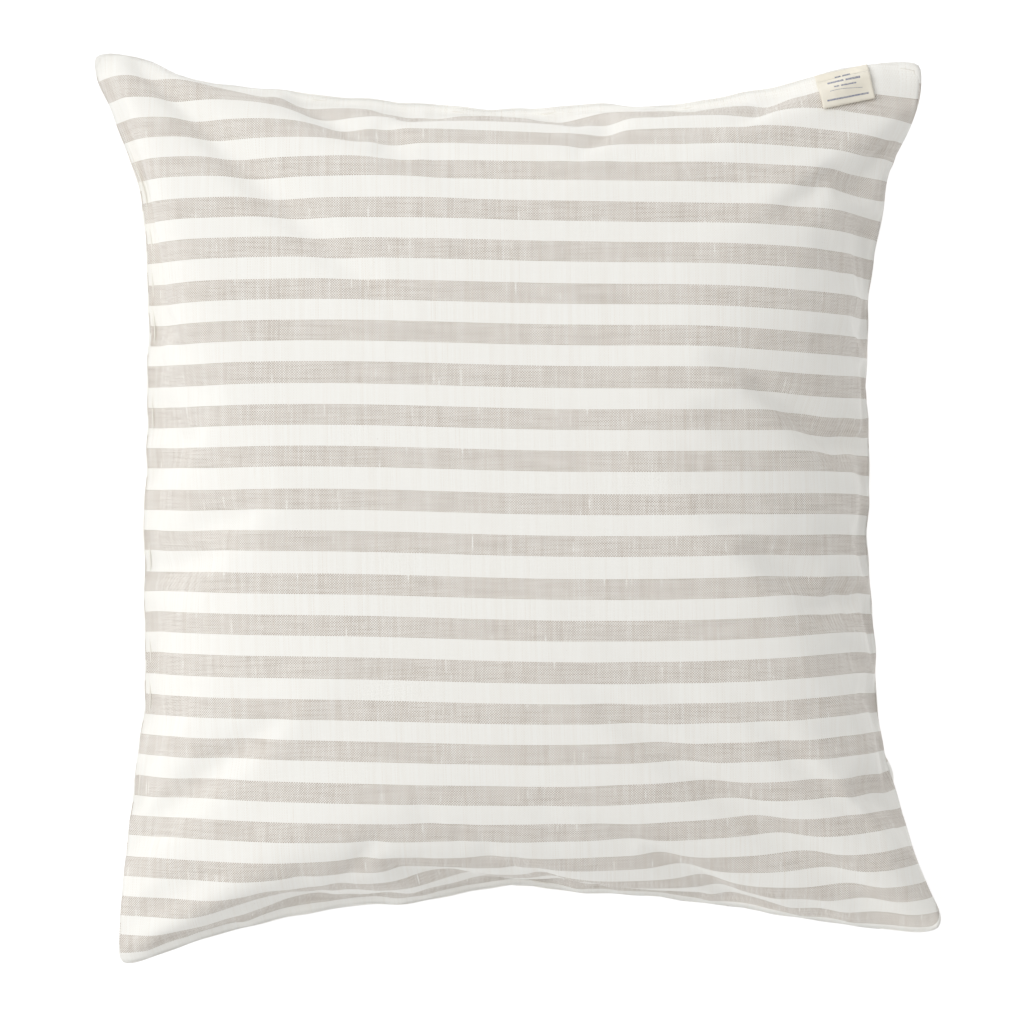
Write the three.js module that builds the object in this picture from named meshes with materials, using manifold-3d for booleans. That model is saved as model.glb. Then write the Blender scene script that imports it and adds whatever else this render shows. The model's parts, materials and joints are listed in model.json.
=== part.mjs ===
// A striped linen throw pillow, lying on its back: a zipped cover, its label, and the filled insert
// inside. Millimetres, +Z up. The origin is the middle of the pillow's outline, on the surface it
// lies on. +X runs along the stripes, +Y towards the labelled seam, and +Z out of the front panel.
import * as THREE from 'three';
import Module from 'manifold-3d';
import { mergeVertices } from 'three/addons/utils/BufferGeometryUtils.js';

const wasm = await Module();
wasm.setup();

// ---- Driving dimensions -------------------------------------------------------------------------
const WIDTH = 488;                  // across the widest pair of corners
const LENGTH = 523;                 // from the lowest corner to the highest
const FRONT_CROWN = 82;             // rise of the front panel over the seam plane
const BACK_CROWN = 86;              // fall of the back panel, if nothing held it up
const SEAM_HEIGHT = 73;             // seam plane over the surface the pillow lies on

// How far each corner falls short of the outer rectangle's corner, because the cloth is askew: [x, y].
const CORNER_SHORT = {
  topLeft: [0, 0], topRight: [12, 5], bottomLeft: [16, 0], bottomRight: [0, 21],
};
// How far the filling pulls the middle of each seam in from the straight line between its corners.
const SEAM_BOW = { left: 21, right: 38, top: 27, bottom: 35 };
const SIDE_BOW_POWER = 3;           // the side seams run nearly straight along their middle
const END_BOW_POWER = 2;            // the top and bottom seams bow evenly

const COVER_THICKNESS = 1;
const SEAM_ALLOWANCE = 10;          // cloth turned in past the cover's seam
const CASING_THICKNESS = 0.8;
const CASING_ALLOWANCE = 6;         // cloth turned in past the insert's seam
const SEAM_GAP = 1;                 // between the two allowances, where the stitches lie
const THREAD_WIDTH = 0.8;
const INSERT_CLEARANCE = 3;         // air between the cover and the insert
const FILLING_CLEARANCE = 4;        // air between the casing and the filling
const FIT_GAP = 0.3;                // between pieces that touch on the real pillow

const ZIP_LENGTH = 360;
const ZIP_FROM_SEAM = 24;           // the zip's middle, in from the bottom seam, seen from above
const ZIP_DROP = 54;                // the zip's middle, below the seam plane
const ZIP_RADIUS = 700;             // of the arc that the closed zip follows along the belly
const ZIP_TILT_DEG = 30;            // of the zip's tapes towards the bottom seam
const ZIP_OPENING = 10;             // width of the slot that shows the teeth
const TAPE_WIDTH = 12;
const TAPE_THICKNESS = 0.6;
const COIL_INNER = 0.8;             // each coil's rod, from the zip's centre line
const COIL_OUTER = 2.6;
const COIL_HEIGHT = 2;
const STOP_LENGTH = 3;
const SLIDER_LENGTH = 11;
const SLIDER_PLATE = 1;             // thickness of the slider's plates and side flanges
const SLIDER_DIVIDER = 1;           // thickness of the web between the slider's plates
const BAIL_INNER = 2;               // radius of the arch that holds the pull
const BAIL_OUTER = 2.8;
const BAIL_WIDTH = 2;
const PULL_LENGTH = 24;
const PULL_WIDTH = 6;
const PULL_THICKNESS = 1;
const PULL_BAR = 0.8;               // width of the bar that the pull turns on
const PULL_HOLE = 2.6;              // hole in the pull's free end

const LABEL_WIDTH = 31;
const LABEL_DROP = 19;              // how far the label hangs in from the seam
const LABEL_THICKNESS = 1.2;        // a folded loop, so two layers of cotton tape
const LABEL_FROM_CORNER = 30;       // from the top right corner to the label's near edge
const LABEL_LIFT = 0.9;             // the label's underside over the front panel

const ALONG_ZIP_STEPS = 14;         // grid cells of every layer along the zip's length
const PAST_ZIP_STEPS = 3;           // and from each of its ends to the side seam
const BELOW_ZIP_STEPS = 3;          // and from the bottom seam to the zip
const ABOVE_ZIP_STEPS = 10;         // and from the zip to the top seam
const BAND_STEPS = 24;              // steps along the zip's own pieces

// ---- The outline and the crowned surfaces -------------------------------------------------------
const lerp = THREE.MathUtils.lerp;
const smoothstep = THREE.MathUtils.smoothstep;
const halfWaistX = (WIDTH - SEAM_BOW.left - SEAM_BOW.right) / 2;
const halfWaistY = (LENGTH - SEAM_BOW.top - SEAM_BOW.bottom) / 2;

const corner = (short, sideX, sideY) => [
  sideX * (WIDTH / 2 - short[0]), sideY * (LENGTH / 2 - short[1]),
];
const CORNERS = {
  topLeft: corner(CORNER_SHORT.topLeft, -1, 1), topRight: corner(CORNER_SHORT.topRight, 1, 1),
  bottomLeft: corner(CORNER_SHORT.bottomLeft, -1, -1), bottomRight: corner(CORNER_SHORT.bottomRight, 1, -1),
};

// Where (s, t), each from -1 to 1, lies in plan: the four corners blended, less the bow of each seam.
function plan(s, t, inset = 0) {
  const a = s * (1 - inset / halfWaistX);
  const b = t * (1 - inset / halfWaistY);
  const right = (1 + a) / 2;
  const up = (1 + b) / 2;
  const blend = (i) => lerp(
    lerp(CORNERS.bottomLeft[i], CORNERS.bottomRight[i], right),
    lerp(CORNERS.topLeft[i], CORNERS.topRight[i], right), up);
  const sideBow = 1 - Math.abs(b) ** SIDE_BOW_POWER;
  const endBow = 1 - Math.abs(a) ** END_BOW_POWER;
  return [
    blend(0) + sideBow * (SEAM_BOW.left * (1 - right) - SEAM_BOW.right * right),
    blend(1) + endBow * (SEAM_BOW.bottom * (1 - up) - SEAM_BOW.top * up),
  ];
}

// Share of the full crown at (s, t): steep walls at the middle of each seam, flat ears at the corners.
function crown(s, t) {
  const fall = (1 - Math.abs(s) ** 2.2) * (1 - Math.abs(t) ** 2.2);
  return Math.max(fall, 0) ** (0.28 + 0.42 * Math.abs(s * t));
}

// ---- The zip's own frame ------------------------------------------------------------------------
// The closed zip is an arc about a line along Y, so the slider's whole travel is one turn about it.
const tilt = THREE.MathUtils.degToRad(ZIP_TILT_DEG);
const zipY = plan(0, -1)[1] + ZIP_FROM_SEAM;
const zipZ = SEAM_HEIGHT - ZIP_DROP;
const zipAxisZ = zipZ + ZIP_RADIUS;

// A point by its distance along the zip, across it towards the bottom seam, and out of the cloth.
function zipPoint(along, across, out) {
  const y = zipY - across * Math.cos(tilt) - out * Math.sin(tilt);
  const radius = ZIP_RADIUS - across * Math.sin(tilt) + out * Math.cos(tilt);
  const angle = along / ZIP_RADIUS;
  return [radius * Math.sin(angle), y, zipAxisZ - radius * Math.cos(angle)];
}

// Height of the zip's swept surface over a point in plan, at a depth under the cover's outside.
function zipSurface(x, y, depth) {
  const across = (zipY + depth * Math.sin(tilt) - y) / Math.cos(tilt);
  const radius = ZIP_RADIUS - across * Math.sin(tilt) - depth * Math.cos(tilt);
  return zipAxisZ - Math.sqrt(radius * radius - x * x);
}

// How far a back layer follows the zip: fully over the tapes, and not at all at its own seam.
const tapeEdge = (TAPE_WIDTH + 1) * Math.cos(tilt);
function zipHold(x, y, t) {
  const alongHold = 1 - smoothstep(Math.abs(x), ZIP_LENGTH / 2 + 2, ZIP_LENGTH / 2 + 25);
  const acrossHold = 1 - smoothstep(Math.abs(y - zipY), tapeEdge, ZIP_FROM_SEAM - 2);
  return alongHold * acrossHold * smoothstep(1 - Math.abs(t), 0, 0.05);
}

// ---- Layers, from the cover's outside in --------------------------------------------------------
// inset: in from the seam in plan. skin: depth under the crown. lip: over or under the seam plane.
// A panel's outside starts two thicknesses from the seam gap, its own and its turned-in allowance's.
const casingInset = SEAM_ALLOWANCE + INSERT_CLEARANCE;
const casingSkin = COVER_THICKNESS + INSERT_CLEARANCE;
const LAYERS = {
  coverOutside: { inset: 0, skin: 0, lip: SEAM_GAP / 2 + 2 * COVER_THICKNESS },
  coverInside: { inset: COVER_THICKNESS, skin: COVER_THICKNESS, lip: SEAM_GAP / 2 + COVER_THICKNESS },
  casingOutside: {
    inset: casingInset, skin: casingSkin, lip: SEAM_GAP / 2 + 2 * CASING_THICKNESS,
  },
  casingInside: {
    inset: casingInset + CASING_THICKNESS, skin: casingSkin + CASING_THICKNESS,
    lip: SEAM_GAP / 2 + CASING_THICKNESS,
  },
  filling: {
    inset: casingInset + CASING_ALLOWANCE + FILLING_CLEARANCE,
    skin: casingSkin + CASING_THICKNESS + FILLING_CLEARANCE,
    lip: SEAM_GAP / 2 + CASING_THICKNESS,
  },
};

const front = (layer) => (s, t) => {
  const [x, y] = plan(s, t, layer.inset);
  return [x, y, SEAM_HEIGHT + lerp(layer.lip, FRONT_CROWN - layer.skin, crown(s, t))];
};

const back = (layer) => (s, t) => {
  const [x, y] = plan(s, t, layer.inset);
  const free = SEAM_HEIGHT - lerp(layer.lip, BACK_CROWN - layer.skin, crown(s, t));
  return [x, y, Math.max(lerp(free, zipSurface(x, y, layer.skin), zipHold(x, y, t)), layer.skin)];
};

// A seam allowance's edge, level with the seam plane: side is 1 for the front and -1 for the back.
const allowance = (layer, width, lip, side) => (s, t) => {
  const [x, y] = plan(s, t, layer.inset + width);
  return [x, y, SEAM_HEIGHT + side * lip];
};

// ---- Grids and closed shells --------------------------------------------------------------------
// The value of f's argument, from -1 to 1, at which f rises past a target, by halving the range.
function crossing(f, target) {
  let low = -1;
  let high = 1;
  for (let i = 0; i < 40; i += 1) {
    const middle = (low + high) / 2;
    if (f(middle) < target) low = middle; else high = middle;
  }
  return (low + high) / 2;
}

const rowAt = (s, y) => crossing((t) => plan(s, t)[1], y);
const alongAt = (s) => plan(s, rowAt(s, zipY))[0];
const columnAt = (x) => crossing(alongAt, x);

// Columns: even along the zip, one cell where its slot closes, then crowded towards the steep sides.
const SLOT_END = ZIP_LENGTH / 2 + 2;
const SLOT_CLOSED = SLOT_END + 10;
const sideColumns = (side) => Array.from({ length: PAST_ZIP_STEPS + 1 }, (_, i) => lerp(
  side, columnAt(side * SLOT_CLOSED), 1 - Math.cos((Math.PI / 2) * (i / PAST_ZIP_STEPS))));
const columns = [
  ...sideColumns(-1),
  ...Array.from({ length: ALONG_ZIP_STEPS + 1 },
    (_, i) => lerp(columnAt(-SLOT_END), columnAt(SLOT_END), i / ALONG_ZIP_STEPS)),
  ...sideColumns(1).reverse(),
];
const ACROSS_STEPS = columns.length - 1;

// Half the slot in a column: the full opening along the zip, and a sewn join past each end.
function slotHalf(s) {
  const open = 1 - smoothstep(Math.abs(alongAt(s)), SLOT_END, SLOT_CLOSED);
  return lerp(FIT_GAP / 2, (ZIP_OPENING / 2) * Math.cos(tilt), open);
}

// Rows of t below and above the zip line. The row next to the line is at the tapes' edge, and slot
// keeps a panel's own edge back from the line by half the slot.
const below = (slot) => (s, j) => {
  if (j === BELOW_ZIP_STEPS) return rowAt(s, zipY - (slot ? slotHalf(s) : 0));
  return lerp(-1, rowAt(s, zipY - tapeEdge), j / (BELOW_ZIP_STEPS - 1));
};
const above = (slot) => (s, j) => {
  if (j === 0) return rowAt(s, zipY + (slot ? slotHalf(s) : 0));
  const share = (j - 1) / (ABOVE_ZIP_STEPS - 1);
  return lerp(rowAt(s, zipY + tapeEdge), 1, (1 - Math.cos(Math.PI * share)) / 2);
};
const allRows = (s, j) => (j < BELOW_ZIP_STEPS
  ? below(false)(s, j) : above(false)(s, j - BELOW_ZIP_STEPS));
const ALL_STEPS = BELOW_ZIP_STEPS + ABOVE_ZIP_STEPS;

// Vertex numbers round the edge of a grid, anticlockwise from above, with each one's column and row.
function edgeLoop(nu, nv) {
  const loop = [];
  for (let i = 0; i < nu; i += 1) loop.push([i, 0]);
  for (let j = 0; j < nv; j += 1) loop.push([nu, j]);
  for (let i = nu; i > 0; i -= 1) loop.push([i, nv]);
  for (let j = nv; j > 0; j -= 1) loop.push([0, j]);
  return loop;
}

function toGeometry(points, triangles) {
  const geometry = new THREE.BufferGeometry();
  geometry.setAttribute('position', new THREE.Float32BufferAttribute(points.flat(), 3));
  const a = new THREE.Vector3();
  const b = new THREE.Vector3();
  const c = new THREE.Vector3();
  let volume = 0;
  for (const [i, j, k] of triangles) {
    volume += a.fromArray(points[i]).dot(b.fromArray(points[j]).cross(c.fromArray(points[k])));
  }
  const outward = volume > 0 ? triangles : triangles.map(([i, j, k]) => [i, k, j]);
  geometry.setIndex(outward.flat());
  return geometry;
}

// Two grids of points, joined round their edges through any rings of points between them.
function closedGrid(nu, nv, upper, lower, rings = []) {
  const points = [];
  const triangles = [];
  const at = (start, i, j) => start + j * (nu + 1) + i;
  for (const surface of [upper, lower]) {
    const start = points.length;
    for (let j = 0; j <= nv; j += 1) {
      for (let i = 0; i <= nu; i += 1) points.push(surface(i, j));
    }
    for (let j = 0; j < nv; j += 1) {
      for (let i = 0; i < nu; i += 1) {
        const quad = [at(start, i, j), at(start, i + 1, j), at(start, i + 1, j + 1), at(start, i, j + 1)];
        if (surface === lower) quad.reverse();
        const even = surface === upper ? [[0, 1, 2], [0, 2, 3]] : [[0, 1, 3], [1, 2, 3]];
        even.forEach((corners) => triangles.push(corners.map((n) => quad[n])));
      }
    }
  }
  const loop = edgeLoop(nu, nv);
  const lowerStart = (nu + 1) * (nv + 1);
  const loops = [loop.map(([i, j]) => at(0, i, j))];
  for (const ring of rings) {
    loops.push(loop.map(([i, j]) => points.push(ring(i, j)) - 1));
  }
  loops.push(loop.map(([i, j]) => at(lowerStart, i, j)));
  for (let r = 0; r + 1 < loops.length; r += 1) {
    for (let n = 0; n < loop.length; n += 1) {
      const next = (n + 1) % loop.length;
      triangles.push([loops[r][n], loops[r + 1][n], loops[r + 1][next]]);
      triangles.push([loops[r][n], loops[r + 1][next], loops[r][next]]);
    }
  }
  return toGeometry(points, triangles);
}

// One sewn panel: its outside, its inside, and the allowance turned in along its seams. rows gives
// the t of each grid row, and slotRow is the row that lies along the zip's slot, if there is one.
function panel(outer, inner, flange, rows, nv, slotRow = null) {
  const surface = (f) => (i, j) => f(columns[i], rows(columns[i], j));
  const rings = flange.map((edge, n) => (i, j) => {
    if (j !== slotRow) return surface(edge)(i, j);
    const share = (n + 1) / (flange.length + 1);
    const from = surface(outer)(i, j);
    return surface(inner)(i, j).map((value, axis) => lerp(from[axis], value, share));
  });
  return closedGrid(ACROSS_STEPS, nv, surface(outer), surface(inner), rings);
}

function seamFlange(layer, width, thickness, side) {
  return [
    allowance(layer, 0, SEAM_GAP / 2, side),
    allowance(layer, width, SEAM_GAP / 2, side),
    allowance(layer, width, SEAM_GAP / 2 + thickness, side),
  ];
}

// A closed ring of flat thread between two allowances, at a distance in from the seam.
function seamThread(inset) {
  const half = SEAM_GAP / 2 - FIT_GAP;
  const edge = (offset, z) => (i, j) => {
    const [x, y] = plan(columns[i], allRows(columns[i], j), inset + offset);
    return [x, y, SEAM_HEIGHT + z];
  };
  const loop = edgeLoop(ACROSS_STEPS, ALL_STEPS);
  const section = [edge(0, half), edge(THREAD_WIDTH, half), edge(THREAD_WIDTH, -half), edge(0, -half)];
  const points = loop.flatMap(([i, j]) => section.map((f) => f(i, j)));
  const triangles = [];
  loop.forEach((_, n) => {
    const here = n * section.length;
    const next = ((n + 1) % loop.length) * section.length;
    section.forEach((__, k) => {
      const kNext = (k + 1) % section.length;
      triangles.push([here + k, next + k, next + kNext], [here + k, next + kNext, here + kNext]);
    });
  });
  return toGeometry(points, triangles);
}

// ---- Zip pieces ---------------------------------------------------------------------------------
const tapeTop = -(COVER_THICKNESS + FIT_GAP);
const tapeBottom = tapeTop - TAPE_THICKNESS;
const coilBottom = tapeTop + FIT_GAP;
const coilTop = coilBottom + COIL_HEIGHT;
const coilEnd = ZIP_LENGTH / 2 - 4;
const stopStart = coilEnd + FIT_GAP;
const sliderTop = coilTop + FIT_GAP;
const sliderBottom = tapeBottom - FIT_GAP;
const sliderHalfWidth = COIL_OUTER + 2 * FIT_GAP + SLIDER_PLATE;
const stopHeight = sliderTop + SLIDER_PLATE;
const sliderTravelEnd = stopStart - FIT_GAP - SLIDER_LENGTH / 2;

// A bar along the zip's arc, square in section: its ends, its sides, and its faces.
function zipBar(from, to, near, far, low, high, steps = BAND_STEPS) {
  const surface = (out) => (i, j) => zipPoint(lerp(from, to, i / steps), lerp(near, far, j), out);
  return closedGrid(steps, 1, surface(high), surface(low));
}

// A line of topstitching along one edge of the slot, lying on the cover.
function topstitch(side) {
  const near = side * (ZIP_OPENING / 2 + 1.5);
  const half = ZIP_LENGTH / 2;
  return zipBar(-half, half, near, near + side * THREAD_WIDTH, FIT_GAP, 2 * FIT_GAP);
}

function toManifold(geometry) {
  const bare = geometry.clone();
  bare.deleteAttribute('normal');
  bare.deleteAttribute('uv');
  const merged = mergeVertices(bare, 1e-4);
  const vertProperties = new Float32Array(merged.attributes.position.array);
  return new wasm.Manifold(new wasm.Mesh({
    numProp: 3, vertProperties, triVerts: new Uint32Array(merged.index.array),
  }));
}

function fromManifold(solid) {
  const mesh = solid.getMesh();
  const geometry = new THREE.BufferGeometry();
  geometry.setAttribute('position', new THREE.BufferAttribute(mesh.vertProperties.slice(), 3));
  geometry.setIndex(new THREE.BufferAttribute(mesh.triVerts.slice(), 1));
  return geometry;
}

function block(x, y, z, width, depth, height) {
  return toManifold(new THREE.BoxGeometry(width, depth, height).translate(x, y, z));
}

// The slider in its own frame: X along the zip, Y across it, Z out. Two plates on a middle web, side
// flanges over the coils, and an arch for the pull.
function sliderGeometry() {
  const plateWidth = 2 * sliderHalfWidth;
  const overlap = 0.2;
  const topPlate = block(0, 0, sliderTop + SLIDER_PLATE / 2, SLIDER_LENGTH, plateWidth, SLIDER_PLATE);
  const bottomPlate = block(0, 0, sliderBottom - SLIDER_PLATE / 2, SLIDER_LENGTH, plateWidth, SLIDER_PLATE);
  const webHeight = sliderTop - sliderBottom + 2 * overlap;
  const web = block(SLIDER_LENGTH / 4, 0, (sliderTop + sliderBottom) / 2, SLIDER_LENGTH / 4,
    SLIDER_DIVIDER, webHeight);
  const flangeHeight = sliderTop + overlap - coilBottom;
  const flanges = [-1, 1].map((side) => block(0, side * (sliderHalfWidth - SLIDER_PLATE / 2),
    coilBottom + flangeHeight / 2, SLIDER_LENGTH, SLIDER_PLATE, flangeHeight));
  const arch = new THREE.Shape();
  arch.absarc(0, 0, BAIL_OUTER, 0, Math.PI, false);
  arch.absarc(0, 0, BAIL_INNER, Math.PI, 0, true);
  arch.closePath();
  const bail = new THREE.ExtrudeGeometry(arch, { depth: BAIL_WIDTH, bevelEnabled: false, curveSegments: 8 });
  bail.rotateX(Math.PI / 2).translate(0, BAIL_WIDTH / 2, sliderTop + SLIDER_PLATE - overlap);
  return fromManifold([topPlate, bottomPlate, web, ...flanges, toManifold(bail)]
    .reduce((whole, piece) => whole.add(piece)));
}

// The pull, flat in X and Y, with the bar it turns on along Y through the origin: a window for the
// slider's arch, and a round hole at the free end.
const pullAxisHeight = Math.hypot(PULL_BAR, PULL_THICKNESS) / 2 + FIT_GAP;
const windowLength = BAIL_OUTER + 2 * FIT_GAP;
const windowHalf = BAIL_WIDTH / 2 + 0.5;
function pullGeometry() {
  const outline = new THREE.Shape();
  const half = PULL_WIDTH / 2;
  const end = PULL_LENGTH - half;
  outline.moveTo(-PULL_BAR / 2, -half + 1);
  outline.lineTo(-PULL_BAR / 2, half - 1);
  outline.lineTo(windowLength, half - 0.6);
  outline.absarc(end, 0, half, Math.PI / 2, -Math.PI / 2, true);
  outline.lineTo(windowLength, -half + 0.6);
  outline.closePath();
  const window = new THREE.Path();
  window.moveTo(PULL_BAR / 2, -windowHalf);
  window.lineTo(windowLength, -windowHalf);
  window.lineTo(windowLength, windowHalf);
  window.lineTo(PULL_BAR / 2, windowHalf);
  window.closePath();
  const hole = new THREE.Path().absarc(end - 1, 0, PULL_HOLE / 2, 0, 2 * Math.PI, false);
  outline.holes.push(window, hole);
  const sheet = new THREE.ExtrudeGeometry(outline,
    { depth: PULL_THICKNESS, bevelEnabled: false, curveSegments: 8 });
  return fromManifold(toManifold(sheet.translate(0, 0, -PULL_THICKNESS / 2)));
}

// ---- Materials and meshes -----------------------------------------------------------------------
const pillow = new THREE.Group();

function add(name, geometry, color, roughness, metalness = 0, parent = pillow) {
  const mesh = new THREE.Mesh(geometry, new THREE.MeshStandardMaterial({ color, roughness, metalness }));
  mesh.name = name;
  parent.add(mesh);
  return mesh;
}

const LINEN = 0xe4e0d8;
const COTTON = 0xf4f1ea;
const FIBRE = 0xf7f7f5;
const TAPE = 0xe9e6de;
const THREAD = 0xefece4;
const METAL = 0xb8babc;

// The cover: a whole front panel, and a back panel in two pieces with the zip between them.
const { coverOutside, coverInside, casingOutside, casingInside } = LAYERS;
const coverFlange = (side) => seamFlange(coverOutside, SEAM_ALLOWANCE, COVER_THICKNESS, side);
const frontPanel = add('cover_front', panel(front(coverOutside), front(coverInside), coverFlange(1),
  allRows, ALL_STEPS), LINEN, 0.9);
add('cover_back_upper', panel(back(coverOutside), back(coverInside), coverFlange(-1),
  above(true), ABOVE_ZIP_STEPS, 0), LINEN, 0.9);
add('cover_back_lower', panel(back(coverOutside), back(coverInside), coverFlange(-1),
  below(true), BELOW_ZIP_STEPS, BELOW_ZIP_STEPS), LINEN, 0.9);
add('cover_seam_thread', seamThread(SEAM_ALLOWANCE / 2), THREAD, 0.8);

// The insert: a two-piece casing sewn round the filling.
const casingFlange = (side) => seamFlange(casingOutside, CASING_ALLOWANCE, CASING_THICKNESS, side);
add('insert_casing_front', panel(front(casingOutside), front(casingInside), casingFlange(1),
  allRows, ALL_STEPS), COTTON, 0.85);
add('insert_casing_back', panel(back(casingOutside), back(casingInside), casingFlange(-1),
  allRows, ALL_STEPS), COTTON, 0.85);
add('insert_seam_thread', seamThread(casingInset + CASING_ALLOWANCE / 2), THREAD, 0.8);
const fillSurface = (f) => (i, j) => f(LAYERS.filling)(columns[i], allRows(columns[i], j));
add('filling', closedGrid(ACROSS_STEPS, ALL_STEPS, fillSurface(front), fillSurface(back)), FIBRE, 1);

// The zip: upper and lower mean towards the top seam and towards the bottom seam.
for (const [name, side] of [['upper', -1], ['lower', 1]]) {
  const half = ZIP_LENGTH / 2;
  add(`zip_tape_${name}`, zipBar(-half, half, side * COIL_INNER, side * TAPE_WIDTH, tapeBottom, tapeTop),
    TAPE, 0.8);
  add(`zip_coil_${name}`, zipBar(-coilEnd, coilEnd, side * COIL_INNER, side * COIL_OUTER,
    coilBottom, coilTop), TAPE, 0.45);
  add(`zip_top_stop_${name}`, zipBar(stopStart, stopStart + STOP_LENGTH, side * COIL_INNER,
    side * COIL_OUTER, coilBottom, stopHeight, 1), METAL, 0.35, 1);
  add(`zip_topstitch_${name}`, topstitch(side), THREAD, 0.8);
}
add('zip_bottom_stop', zipBar(-stopStart - STOP_LENGTH, -stopStart, -COIL_OUTER, COIL_OUTER,
  coilBottom, stopHeight, 1), METAL, 0.35, 1);

// The slider stands at the closed end. The group carries the zip's own directions at that place.
const sliderSeat = new THREE.Group();
const seat = (along, across, out) => new THREE.Vector3(...zipPoint(sliderTravelEnd + along, across, out));
const seatOrigin = seat(0, 0, 0);
const outDirection = seat(0, 0, 1).sub(seatOrigin).normalize();
const acrossDirection = seat(0, 1, 0).sub(seatOrigin).normalize();
const alongDirection = new THREE.Vector3().crossVectors(acrossDirection, outDirection);
const seatFrame = new THREE.Matrix4().makeBasis(alongDirection, acrossDirection, outDirection);
sliderSeat.applyMatrix4(seatFrame);
sliderSeat.position.copy(seatOrigin);
pillow.add(sliderSeat);
add('zip_slider', sliderGeometry(), METAL, 0.3, 1, sliderSeat);

// The pull hangs straight down from the slider's arch, under its own weight.
const pullSeat = new THREE.Group();
const hangAngle = Math.atan2(-outDirection.z, -alongDirection.z);
pullSeat.position.set(0, 0, sliderTop + SLIDER_PLATE + pullAxisHeight);
pullSeat.rotation.y = -hangAngle;
sliderSeat.add(pullSeat);
add('zip_pull', pullGeometry(), METAL, 0.3, 1, pullSeat);

// The label: a folded loop sewn in at the top seam, lying on the front panel.
function labelGeometry() {
  frontPanel.updateMatrixWorld(true);
  frontPanel.material.side = THREE.DoubleSide;
  const caster = new THREE.Raycaster();
  const down = new THREE.Vector3(0, 0, -1);
  const cornerX = CORNERS.topRight[0];
  const farX = cornerX - LABEL_FROM_CORNER - LABEL_WIDTH;
  const seamY = (x) => plan((2 * x - CORNERS.topLeft[0] - cornerX) / (cornerX - CORNERS.topLeft[0]), 1)[1];
  const start = new THREE.Vector2(farX, seamY(farX));
  const end = new THREE.Vector2(farX + LABEL_WIDTH, seamY(farX + LABEL_WIDTH));
  const run = end.clone().sub(start).normalize();
  const inward = new THREE.Vector2(run.y, -run.x);
  const stepsAlong = 6;
  const stepsDown = 5;
  const rise = (x, y) => {
    caster.set(new THREE.Vector3(x, y, SEAM_HEIGHT + 2 * FRONT_CROWN), down);
    const hit = caster.intersectObject(frontPanel)[0];
    return hit ? hit.point.z : SEAM_HEIGHT + coverOutside.lip;
  };
  const surface = (lift) => (i, j) => {
    const distance = LABEL_DROP * (j / stepsDown) - LABEL_LIFT;
    const x = start.x + run.x * LABEL_WIDTH * (i / stepsAlong) + inward.x * distance;
    const y = start.y + run.y * LABEL_WIDTH * (i / stepsAlong) + inward.y * distance;
    return [x, y, rise(x, y) + LABEL_LIFT + lift];
  };
  return closedGrid(stepsAlong, stepsDown, surface(LABEL_THICKNESS), surface(0));
}
add('label', labelGeometry(), COTTON, 0.85);

export default pillow;
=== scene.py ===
# %% [markdown]
# A striped linen throw pillow.
#
# A throw pillow is two things: a zipped cover of washed linen, and inside it an insert, which is a
# cotton bag stuffed with fibre. The insert is what gives the pillow its shape. Two flat panels are
# sewn together round their edges, the filling pushes them apart, and because cloth hardly stretches,
# the seams are pulled in between the corners and the corners stay behind as flat ears.
#
# The zip, the label and every joint were designed beforehand, in a model that this script loads and
# never moves. Everything is in metres: +X runs along the stripes, +Y towards the labelled top seam,
# and +Z out of the front panel. The pillow lies on its back, on z = 0.

# %% Load the designed model
import json
import math

import bpy
import numpy as np
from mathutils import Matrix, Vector
from mathutils.bvhtree import BVHTree


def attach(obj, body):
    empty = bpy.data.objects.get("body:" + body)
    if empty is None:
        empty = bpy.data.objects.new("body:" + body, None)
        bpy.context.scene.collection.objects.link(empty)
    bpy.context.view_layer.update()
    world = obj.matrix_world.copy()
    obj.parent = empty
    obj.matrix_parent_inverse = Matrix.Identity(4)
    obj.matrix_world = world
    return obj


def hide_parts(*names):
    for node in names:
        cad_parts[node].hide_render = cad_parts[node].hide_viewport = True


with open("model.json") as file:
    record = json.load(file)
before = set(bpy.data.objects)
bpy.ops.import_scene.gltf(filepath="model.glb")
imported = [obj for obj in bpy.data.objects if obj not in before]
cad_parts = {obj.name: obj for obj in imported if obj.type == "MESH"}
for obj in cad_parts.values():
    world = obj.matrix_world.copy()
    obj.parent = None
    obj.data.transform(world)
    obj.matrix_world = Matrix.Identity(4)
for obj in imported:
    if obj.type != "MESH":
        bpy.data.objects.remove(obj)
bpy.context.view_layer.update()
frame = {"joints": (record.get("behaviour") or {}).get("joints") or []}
joints = {joint["name"]: joint for joint in frame["joints"]}

MM = 0.001
rng = np.random.default_rng(7)


# %% [markdown]
# The camera looks straight down from far off, so that the outline is seen without perspective. It is
# as far away as it is because the lens is long: the view is as wide as the sensor's width times the
# distance over the focal length.

# %% Camera
SEAM_HEIGHT = 73 * MM          # the plane of the seams, over the floor
VIEW_WIDTH = 588.8 * MM        # what the camera takes in, at the plane of the seams
VIEW_CENTRE = (-2.6 * MM, -1.4 * MM)
CAMERA_DISTANCE = 5.0
SENSOR_MM = 36.0

camera_data = bpy.data.cameras.new("camera")
camera_data.sensor_width = SENSOR_MM
camera_data.lens = SENSOR_MM * CAMERA_DISTANCE / VIEW_WIDTH
camera = bpy.data.objects.new("camera", camera_data)
camera.location = (*VIEW_CENTRE, SEAM_HEIGHT + CAMERA_DISTANCE)
bpy.context.scene.collection.objects.link(camera)
bpy.context.scene.camera = camera
print("lens, mm:", round(camera_data.lens))


# %% [markdown]
# Some helpers that every piece uses. A surface is a grid of points worked out as whole arrays, and a
# material is a handful of shader nodes. Colours are written as the sRGB hex values that a paint chart
# or a colour picker gives, and one function turns them into the linear light values shaders work in.

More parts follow.
